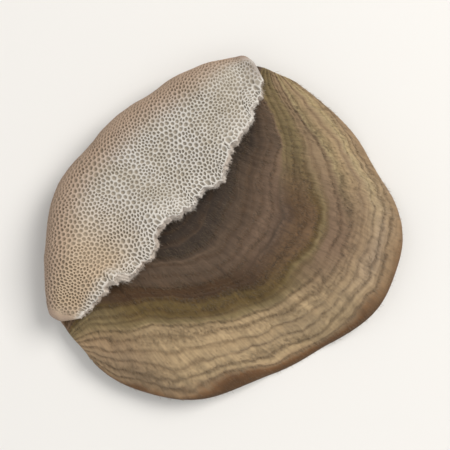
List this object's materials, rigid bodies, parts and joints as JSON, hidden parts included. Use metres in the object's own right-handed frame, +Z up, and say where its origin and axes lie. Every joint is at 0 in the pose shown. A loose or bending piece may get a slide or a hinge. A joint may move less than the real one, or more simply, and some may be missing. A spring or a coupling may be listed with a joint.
{
  "type": "dried turkey tail fungus cap",
  "caption": "Small round leathery bracket with wavy margin, growth ridges and pale pore side; rear third curled up and folded forward, with a torn edge.",
  "frame": {"origin": "centre of the cap's outline box in plan, at the level of the surface that it lies on", "axes": "+Z up, away from the surface; +Y to the top tip of the fold and +X to the right, as one looks down on the zoned side; the flap points towards +X and -Y"},
  "size_m": [0.0228, 0.022, 0.0042],
  "materials": {
    "cap": "matt and velvety on the zoned side, pale and finely porous on the other; dry leathery fungus flesh"
  },
  "bodies": {
    "root": {"cap": "cap"}
  },
  "joints": []
}
